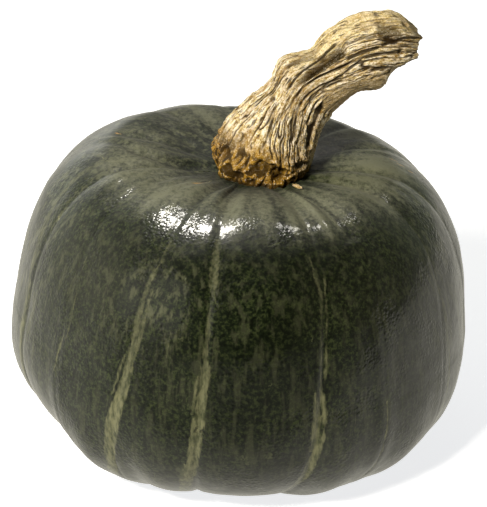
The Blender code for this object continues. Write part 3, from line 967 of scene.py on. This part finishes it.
def waxy_rind(settings):
    """Kabocha rind: hard, dark green skin with a thin coat of wax. It is dark and mottled seen
    straight on, with broken, sparkling highlights where the light glances off its fine pebbling."""
    material, shader, make = new_material("waxy_rind")
    place = make("TexCoord", output="Object")
    crown, bloom, fanned, dusty = (
        make("Attribute", {"attribute_name": name}, output="Fac")
        for name in ("crown", "bloom", "streaks", "dusty")
    )
    centre, half = (
        make("Attribute", {"attribute_name": name}, output="Vector")
        for name in ("strand_place", "strand_half")
    )
    # Cells per metre, detail, roughness, and the pace down the ribs, which draws a pattern out.
    noises = {}
    for name, scale, detail, roughness, pace in (
        ("mottle", 700.0, 4.0, 0.74, 1.0),  # flecks of about 1.5 mm, with finer ones inside
        ("clouds", 38.0, 3.0, 0.55, 1.0),  # about 26 mm
        ("streaks", 330.0, 3.0, 0.6, 0.12),  # about 3 mm wide and 25 mm long
        ("powder", 520.0, 4.0, 0.7, 1.0),  # specks of about 2 mm
        ("notches", 1100.0, 2.0, 0.5, 0.3),  # about 0.9 mm wide and 3 mm long
        ("gaps", 330.0, 2.0, 0.6, 0.3),  # about 3 mm wide and 10 mm long
        ("tone", 700.0, 3.0, 0.6, 0.3),  # about 1.5 mm wide and 5 mm long
        ("bend", 900.0, 2.0, 0.5, 1.0),  # about 1 mm
        ("wear", 160.0, 3.0, 0.6, 1.0),  # about 6 mm
        ("patches", 70.0, 2.0, 0.5, 1.0),  # about 14 mm
        ("dents", 260.0, 3.0, 0.55, 1.0),  # about 4 mm
    ):
        drawn = make("Mapping", None, {"Vector": place, "Scale": (1.0, 1.0, pace)})
        noises[name] = make("TexNoise", None, {
            "Vector": drawn, "Scale": scale, "Detail": detail, "Roughness": roughness,
        })

    # Mottled green, darker in clouds, with faint dust streaks down the ribs. The streaks are heavier on
    # the flanks and on a cheek at the front left, where they are painted sheen.
    colour = make("ValToRGB", None, (noises["mottle"],), stops=(
        (0.42, settings.skin_colour),
        (0.51, settings.mottle_colour),
        (0.61, settings.fleck_colour),
    ))
    shaded = make("MapRange", SMOOTH, (noises["clouds"], 0.38, 0.62, 0.0, 0.45))
    most = make("Math", PRODUCT_SUM, (dusty, 0.65, 0.25))
    streaks = make("MapRange", SMOOTH, (noises["streaks"], 0.48, 0.66, 0.0, most))
    # The bloom breaks into specks at its edge, and into streaks that run into the hollow.
    powder = make("MapRange", None, (noises["powder"], 0.3, 0.7, -0.5, 0.5))
    powder = make("Math", PRODUCT_SUM, (fanned, 0.42, powder))
    edge = make("Math", {"operation": "MULTIPLY", "use_clamp": True}, (bloom, 2.0))
    powder = make("Math", PRODUCT_SUM, (powder, edge, bloom))
    powder = make("MapRange", SMOOTH, (powder, 0.10, 1.45, 0.0, 1.0))

    # A strand shows where its half-width, made ragged, is more than the distance to its middle.
    notches = make("MapRange", None, (noises["notches"], 0.25, 0.75, -0.45, 0.45))
    gaps = make("MapRange", SMOOTH, (noises["gaps"], 0.34, 0.54, -0.5, 0.1))
    ragged = make("Math", None, (notches, gaps))
    away = make("VectorMath", {"operation": "ABSOLUTE"}, (centre,))
    inside = make("VectorMath", {"operation": "SUBTRACT"}, (half, away))
    one, two, three = make("SeparateXYZ", None, (inside,)).node.outputs
    deepest = make("Math", GREATER, (one, two))
    deepest = make("Math", GREATER, (deepest, three))
    deepest = make("Math", None, (deepest, ragged))
    stripe = make("MapRange", SMOOTH, (deepest, -0.45, 0.55, 0.0, 1.0))
    # Strands are fainter towards the crown.
    height = make("SeparateXYZ", None, (place,), output=2)
    strength = make("MapRange", SMOOTH, (height, 0.045, 0.090, 0.85, 0.35))
    stripe = make("Math", PRODUCT, (stripe, strength))
    pale = make("ValToRGB", None, (noises["tone"],), stops=(
        (0.36, settings.stripe_colour),
        (0.62, settings.stripe_pale_colour),
    ))

    # Scars, with edges bent by about half a millimetre.
    bend = noises["bend"].node.outputs["Color"]
    bent = make("VectorMath", PRODUCT_SUM, (bend, (0.0016,) * 3, (-0.0008,) * 3))
    bent = make("VectorMath", None, (place, bent))
    layers = [
        (shaded, settings.skin_colour),
        (streaks, settings.dust_and_sheen_colour),
        # The bloom's share carries the painted shadow of the stem.
        (powder, settings.bloom_colour),
        (stripe, pale),
    ]
    for kind, paint in (
        ("scuff", settings.stripe_colour),
        ("pale", settings.stripe_pale_colour),
        ("golden", settings.scar_colour),
        ("dark", settings.skin_colour),
    ):
        near = scar_nearness(make, bent, SCARS[kind])
        layers.append((make("MapRange", SMOOTH, (near, 0.0, 0.4, 0.0, 0.75)), paint))
    for share, paint in layers:
        colour = make("Mix", PAINT, {0: share, 6: colour, 7: paint}, output=2)

    rough = make("MapRange", SMOOTH, (noises["wear"], 0.3, 0.7, 0.38, 0.52))
    rough = make("Math", PRODUCT_SUM, (crown, 0.22, rough))
    rough = make("Math", PRODUCT_SUM, (stripe, 0.12, rough))
    # The wax shines on the ribs and is dull and powdery in the hollow.
    waxed = make("MapRange", SMOOTH, (crown, 0.32, 0.66, 0.85, 0.0))
    # The real pebbling is about 0.5 mm; it is drawn at 1.3 mm, so that it shows in the highlights.
    pebbles = make("TexVoronoi", None, {"Vector": place, "Scale": 770.0, "Randomness": 0.9})
    pebbles = make("MapRange", SMOOTH, (pebbles, 0.1, 0.75, 1.0, 0.0))
    patches = make("MapRange", SMOOTH, (noises["patches"], 0.42, 0.62, 0.3, 1.7))
    pebbles = make("Math", PRODUCT, (pebbles, patches))
    # The dents are deeper on the flanks.
    deeper = make("Math", PRODUCT_SUM, (dusty, 2.5, 2.8))
    height = make("Math", PRODUCT_SUM, (noises["dents"], deeper, pebbles))
    height = make("Math", PRODUCT_SUM, (stripe, 0.3, height))
    # The wax levels the pebbling by three tenths.
    skin_bump, wax_bump = (
        make("Bump", None, {"Height": height, "Strength": level, "Distance": settings.pebble_depth})
        for level in (1.0, 0.7)
    )
    set_inputs(shader, {
        "Base Color": colour, "Roughness": rough, "IOR": 1.38, "Normal": skin_bump,
        "Coat Weight": waxed, "Coat Roughness": 0.13, "Coat IOR": 1.45, "Coat Normal": wax_bump,
        "Sheen Weight": 0.06, "Sheen Roughness": 0.45, "Sheen Tint": linear("#E8E4D2"),
    })
    return material


def dry_cork(settings):
    """Dry squash stem: cork-like straw fibres, split lengthways, with painted shade in the cracks,
    creases and pits, and golden brown where the bark has flaked off its foot."""
    material, shader, make = new_material("dry_cork")
    place = make("TexCoord", output="Object")
    foot, above, golden, bare, sunken, calm, crease, pit, grains = (
        make("Attribute", {"attribute_name": name}, output="Fac")
        for name in ("foot", "above", "golden", "bare", "sunken", "calm", "crease", "pit", "grains")
    )
    grain, signed = (
        make("Attribute", {"attribute_name": name}, output="Vector") for name in ("grain", "fibres")
    )
    # The coordinates of each pattern, then as in the rind, the pace being along the stem. Real
    # fibres are finer than the render can show.
    noises = {}
    for name, source, scale, detail, roughness, pace in (
        ("hairs", grain, 1700.0, 3.0, 0.75, 0.22),  # fibres of about 0.6 mm, five times as long
        ("specks", place, 1400.0, 3.0, 0.65, 1.0),  # about 0.7 mm, where it is cork and not fibre
        ("blotches", place, 190.0, 3.0, 0.6, 1.0),  # about 5 mm
        ("dashes", grain, 1900.0, 1.0, 0.5, 0.17),  # about 0.5 mm wide and 3 mm long
        ("pepper", place, 1650.0, 2.0, 0.6, 1.0),  # specks of about 0.6 mm, dark and pale, all over
    ):
        drawn = make("Mapping", None, {"Vector": source, "Scale": (1.0, 1.0, pace)})
        noises[name] = make("TexNoise", None, {
            "Vector": drawn, "Scale": scale, "Detail": detail, "Roughness": roughness,
        })
    corky = make("Math", PRODUCT, (above, 0.4))
    corky = make("Math", GREATER, (foot, corky))
    corky = make("Math", PRODUCT, (corky, 0.7))
    texture = make("Mix", None, {0: corky, 2: noises["hairs"], 3: noises["specks"]})
    colour = make("ValToRGB", None, (texture,), stops=(
        (0.385, settings.bark_colour),
        (0.465, settings.straw_colour),
        (0.555, settings.pale_colour),
    ))
    toned = make("MapRange", SMOOTH, (noises["blotches"], 0.40, 0.66, 0.0, 0.45))
    toned = make("Math", None, (toned, foot))

    # The signed heights of the ridges and fibres are zero along the valleys between them. The wide
    # ridges split where the gaps are open, and the fine fibres elsewhere.
    size = make("VectorMath", {"operation": "ABSOLUTE"}, (signed,))
    ridge, fibre, _ = make("SeparateXYZ", None, (size,)).node.outputs
    gaps = make("SeparateXYZ", None, (signed,), output=2)
    open_here = make("MapRange", SMOOTH, (gaps, -0.25, 0.2, 0.0, 1.0))
    shut_here = make("Math", {"operation": "SUBTRACT"}, (1.0, open_here))
    # Painted shade: the valleys take the bark's brown, partly the real brown between the fibres, and
    # the splits in them are darkened as cracks.
    low = crack_shade = 0.0
    for height, here, wide, deep, inner, outer, dark in (
        (ridge, open_here, 0.30, 0.6, 0.05, 0.19, 0.95),
        (fibre, shut_here, 0.22, 0.5, 0.04, 0.17, 0.9),
    ):
        valley = make("MapRange", SMOOTH, (height, 0.0, wide, deep, 0.0))
        low = make("Math", GREATER, (valley, low))
        split = make("MapRange", SMOOTH, (height, inner, outer, dark, 0.0))
        split = make("Math", PRODUCT, (split, here))
        crack_shade = make("Math", GREATER, (split, crack_shade))
    low = make("Math", PRODUCT, (low, calm))
    crack_shade = make("Math", PRODUCT, (crack_shade, calm))
    crease = make("MapRange", SMOOTH, (crease, 0.35, 0.9, 0.0, 0.9))
    pit = make("Math", PRODUCT, (pit, 0.8))
    # Painted shade in the hollows between the crumbs of the foot, and short dark dashes between fibres.
    crumb_shade = make("MapRange", SMOOTH, (grains, -0.34, 0.02, 0.9, 0.0))
    crumb_shade = make("Math", PRODUCT, (crumb_shade, foot))
    dashes = make("MapRange", SMOOTH, (noises["dashes"], 0.60, 0.70, 0.0, 0.75))
    # Painted shade in the cracks, creases, pits and crumb seams, along the foot's contact with the
    # fruit and at the torn rim, with the dashes between the fibres.
    dark = 0.0
    for share in (crack_shade, crease, pit, crumb_shade, dashes):
        dark = make("Math", GREATER, (share, dark))
    dark_specks = make("MapRange", None, (noises["pepper"], 0.55, 0.65, 0.0, 0.65))
    pale_specks = make("MapRange", None, (noises["pepper"], 0.44, 0.34, 0.0, 0.55))

    for blend, share, times, paint in (
        ("MIX", above, 0.55, settings.straw_colour),
        ("MULTIPLY", toned, 1.0, settings.golden_colour),
        ("MIX", golden, 0.6, settings.crust_colour),
        ("MIX", bare, 0.7, settings.bare_colour),
        # Painted shade in the pocket and the torn end's hollow.
        ("MIX", sunken, 1.3, settings.pocket_shade_colour),
        ("MIX", low, 1.0, settings.bark_colour),
        ("MIX", dark_specks, 1.0, settings.bark_colour),
        ("MIX", pale_specks, 1.0, settings.pale_colour),
        ("MIX", dark, 1.0, settings.crack_shade_colour),
    ):
        share = make("Math", {"operation": "MULTIPLY", "use_clamp": True}, (share, times))
        colour = make("Mix", {"data_type": "RGBA", "blend_type": blend}, {
            0: share, 6: colour, 7: paint,
        }, output=2)
    height = make("Math", PRODUCT_SUM, (dark, -0.8, texture))
    bump = make("Bump", None, {"Height": height, "Strength": 1.0, "Distance": settings.fibre_depth})
    set_inputs(shader, {"Base Color": colour, "Roughness": 0.8, "IOR": 1.4, "Normal": bump})
    return material


# ---------------------------------------------------------------- what a user may change
def colour_property(name, description, hex_value):
    """A colour with its alpha, whose default is an sRGB hex value."""
    return FloatVectorProperty(
        name=name, description=description, subtype="COLOR", size=4, min=0.0, max=1.0,
        default=linear(hex_value),
    )


class RindSettings(PropertyGroup):
    skin_colour: colour_property("Skin", "Darkest green of the rind", "#070B03")
    mottle_colour: colour_property("Mottle", "Green between the darkest patches", "#161E0E")
    fleck_colour: colour_property("Fleck", "Lightest green of the fine flecks", "#343B20")
    # Grey of the dust streaks, which are also the painted sheen on the flanks.
    dust_and_sheen_colour: colour_property("Dust", "Grey of the dusty streaks down the ribs", "#55573F")
    bloom_colour: colour_property("Bloom", "Greyer green near the stem", "#6E6F58")
    stripe_colour: colour_property("Stripe", "Olive of the strands in the grooves", "#464A31")
    stripe_pale_colour: colour_property("Pale stripe", "Palest part of the strands", "#7F7E5C")
    scar_colour: colour_property("Scar", "Golden brown of the healed scars", "#B08A4C")
    pebble_depth: FloatProperty(
        name="Pebble depth", description="Height of the skin's fine pebbling", default=0.00006,
        min=0.0, max=0.002, unit="LENGTH", precision=5,
    )


class StemSettings(PropertyGroup):
    straw_colour: colour_property("Straw", "Main colour of the dry fibres", "#E8D292")
    pale_colour: colour_property("Pale", "Palest fibres", "#FFF2DA")
    bark_colour: colour_property("Bark", "Brown between the fibres", "#96743A")
    golden_colour: colour_property("Golden", "Golden brown of the foot", "#A0802C")
    bare_colour: colour_property("Bare", "Smooth grey-brown underside", "#C2A570")
    crust_colour: colour_property("Crust", "Golden yellow of the flakes at the foot", "#B48C32")
    # Painted shade in the open pocket and the hollow of the torn end.
    pocket_shade_colour: colour_property("Sunken", "Inside of the open pocket", "#4C4228")
    # Painted shade in the cracks, creases and pits, at the seam with the fruit and at the torn rim.
    crack_shade_colour: colour_property("Crack", "Inside of the cracks", "#261A0A")
    fibre_depth: FloatProperty(
        name="Fibre depth", description="Depth of the finest fibres", default=0.0005, min=0.0,
        max=0.002, unit="LENGTH", precision=5,
    )


class SplinterSettings(PropertyGroup):
    length: FloatProperty(
        name="Length", description="Length of the splinter beside the foot", default=0.0062,
        min=0.001, max=0.02, unit="LENGTH", precision=4,
    )


class StageSettings(PropertyGroup):
    floor_colour: colour_property("Floor", "Colour of the floor", "#F4F4F2")
    glow_strength: FloatProperty(
        name="Surroundings", description="Strength of the studio's soft surroundings", default=1.0,
        min=0.0,
    )
    lamp_power: FloatProperty(
        name="Softboxes", description="Power of the brightest softbox", default=15.0, min=0.0,
        unit="POWER",
    )


class SQUASH_OT_rind(Operator):
    """Make the fruit with its ribs, dents and striped, waxy rind"""

    bl_idname = "squash.rind"
    bl_label = "Make the rind"

    def execute(self, context):
        material = waxy_rind(context.scene.squash_rind)
        add_piece("rind", fruit_surface(), material, "fruit")
        return {"FINISHED"}


class SQUASH_OT_stem(Operator):
    """Make the dry, split, corky stem"""

    bl_idname = "squash.stem"
    bl_label = "Make the stem"

    def execute(self, context):
        material = dry_cork(context.scene.squash_stem)
        add_piece("corky_stem", stem_surface(), material, "stem")
        return {"FINISHED"}


class SQUASH_OT_splinter(Operator):
    """Make the splinter of dry cork that lies beside the stem's foot"""

    bl_idname = "squash.splinter"
    bl_label = "Make the splinter"

    def execute(self, context):
        surface = splinter_surface(context.scene.squash_splinter.length)
        material = bpy.data.materials.get("dry_cork") or dry_cork(context.scene.squash_stem)
        add_piece("splinter", surface, material, None)
        return {"FINISHED"}


def aimed(name, data, location, target):
    """An object at a location that looks at a target along its own -Z, with its own Y upwards."""
    made = bpy.data.objects.new(name, data)
    made.location = location
    made.rotation_euler = (Vector(target) - Vector(location)).to_track_quat("-Z", "Y").to_euler()
    bpy.context.scene.collection.objects.link(made)
    return made


def softbox(name, power, size, heading, height, lights):
    """A square area light of warm white, turned to the fruit, that lights only what lights names:
    "diffuse" for surfaces themselves, "glossy" for their reflections."""
    light = bpy.data.lights.new(name, "AREA")
    light.size = size
    light.energy = power
    light.color = (1.0, 0.96, 0.88)
    lamp = aimed(name, light, SOFTBOX_AIM + SOFTBOX_AWAY * direction(heading, height), SOFTBOX_AIM)
    lamp.visible_glossy = lights == "glossy"
    lamp.visible_diffuse = lights == "diffuse"


def studio_world(strength):
    """Soft surroundings of several broad glows, plain white to the camera."""
    world = bpy.data.worlds.new("studio")
    world.use_nodes = True
    make = partial(add, world.node_tree)
    way = make("TexCoord", output="Generated")
    total = (0.0, 0.0, 0.0)
    for heading, height, colour in GLOWS:
        middle = direction(heading, height)
        facing = make("VectorMath", {"operation": "DOT_PRODUCT"}, (way, middle), output="Value")
        facing = make("Math", GREATER, (facing, 0.0))
        facing = make("Math", {"operation": "POWER"}, (facing, GLOW_POWER))
        glow = make("VectorMath", {"operation": "SCALE"}, {0: colour, "Scale": facing})
        total = make("VectorMath", None, (glow, total))
    level = make("VectorMath", {"operation": "SCALE"}, {0: total, "Scale": strength})
    seen = make("LightPath", output="Is Camera Ray")
    shown = make("Mix", PAINT, {0: seen, 6: level, 7: (1.0, 1.0, 1.0, 1.0)}, output=2)
    set_inputs(world.node_tree.nodes["Background"], {"Color": shown})
    bpy.context.scene.world = world


def matt_paper(paper_colour):
    """Matt white paper over a light table: it glows a little, so that a shadow on it stays faint.

    Its glow is even to the camera. To all else it is dimmer towards the fruit's front, where the
    table is masked: the glow follows the distance behind the fruit plus a share of that aside.
    """
    material, shader, make = new_material("matt_paper")
    place = make("TexCoord", output="Object")
    aside, behind, _ = make("SeparateXYZ", None, (place,)).node.outputs
    aside = make("Math", {"operation": "ABSOLUTE"}, (aside,))
    behind = make("Math", PRODUCT_SUM, (aside, 0.3, behind))
    glow = make("MapRange", SMOOTH, (behind, -0.20, -0.06, 0.04, 0.56))
    seen = make("LightPath", output="Is Camera Ray")
    glow = make("Mix", None, {0: seen, 2: glow, 3: 0.8})
    level = make("Mix", None, {0: seen, 2: 0.15, 3: 1.0})
    black, warm, cool = (0.0, 0.0, 0.0, 1.0), (1.0, 0.97, 0.84, 1.0), (0.96, 0.97, 1.0, 1.0)
    shade = make("Mix", PAINT, {0: level, 6: black, 7: paper_colour}, output=2)
    tint = make("Mix", PAINT, {0: seen, 6: warm, 7: cool}, output=2)
    set_inputs(shader, {
        "Base Color": shade, "Roughness": 0.9, "Specular IOR Level": 0.1,
        "Emission Color": tint, "Emission Strength": glow,
    })
    return material


class SQUASH_OT_stage(Operator):
    """Make the floor, the lights and the camera"""

    bl_idname = "squash.stage"
    bl_label = "Make the stage"

    def execute(self, context):
        settings = context.scene.squash_stage
        mesh = bpy.data.meshes.new("floor")
        corners = [(x * FLOOR_HALF, y * FLOOR_HALF, 0) for x, y in ((-1, -1), (1, -1), (1, 1), (-1, 1))]
        mesh.from_pydata(corners, [], [(0, 1, 2, 3)])
        mesh.materials.append(matt_paper(settings.floor_colour))
        floor = bpy.data.objects.new("floor", mesh)
        context.scene.collection.objects.link(floor)
        for name, heading, height, size, share, lights in SOFTBOXES:
            softbox(name, settings.lamp_power * share, size, heading, height, lights)
        studio_world(settings.glow_strength)
        camera = bpy.data.cameras.new("camera")
        camera.sensor_width = SENSOR_MM
        camera.lens = LENS_MM
        context.scene.camera = aimed("camera", camera, CAMERA_PLACE, CAMERA_AIM)
        context.scene.view_settings.view_transform = "Standard"
        return {"FINISHED"}


class SQUASH_PT_panel(Panel):
    """Lists the makers of the squash's pieces and their settings"""

    bl_idname = "SQUASH_PT_panel"
    bl_label = "Kabocha squash"
    bl_space_type = "VIEW_3D"
    bl_region_type = "UI"
    bl_category = "Squash"

    def draw(self, context):
        for operator, group in MAKERS:
            self.layout.operator(operator.bl_idname)
            settings = getattr(context.scene, group)
            for name in settings.__annotations__:
                self.layout.prop(settings, name)


MAKERS = (
    (SQUASH_OT_rind, "squash_rind"),
    (SQUASH_OT_stem, "squash_stem"),
    (SQUASH_OT_splinter, "squash_splinter"),
    (SQUASH_OT_stage, "squash_stage"),
)
GROUPS = {
    "squash_rind": RindSettings,
    "squash_stem": StemSettings,
    "squash_splinter": SplinterSettings,
    "squash_stage": StageSettings,
}
CLASSES = (*GROUPS.values(), *(maker for maker, _ in MAKERS), SQUASH_PT_panel)


def register():
    for made in CLASSES:
        bpy.utils.register_class(made)
    for name, group in GROUPS.items():
        setattr(bpy.types.Scene, name, PointerProperty(type=group))


def unregister():
    for name in GROUPS:
        delattr(bpy.types.Scene, name)
    for made in reversed(CLASSES):
        bpy.utils.unregister_class(made)


def main():
    register()
    bpy.ops.squash.rind()
    bpy.ops.squash.stem()
    bpy.ops.squash.splinter()
    bpy.ops.squash.stage()


if __name__ == "__main__":
    main()
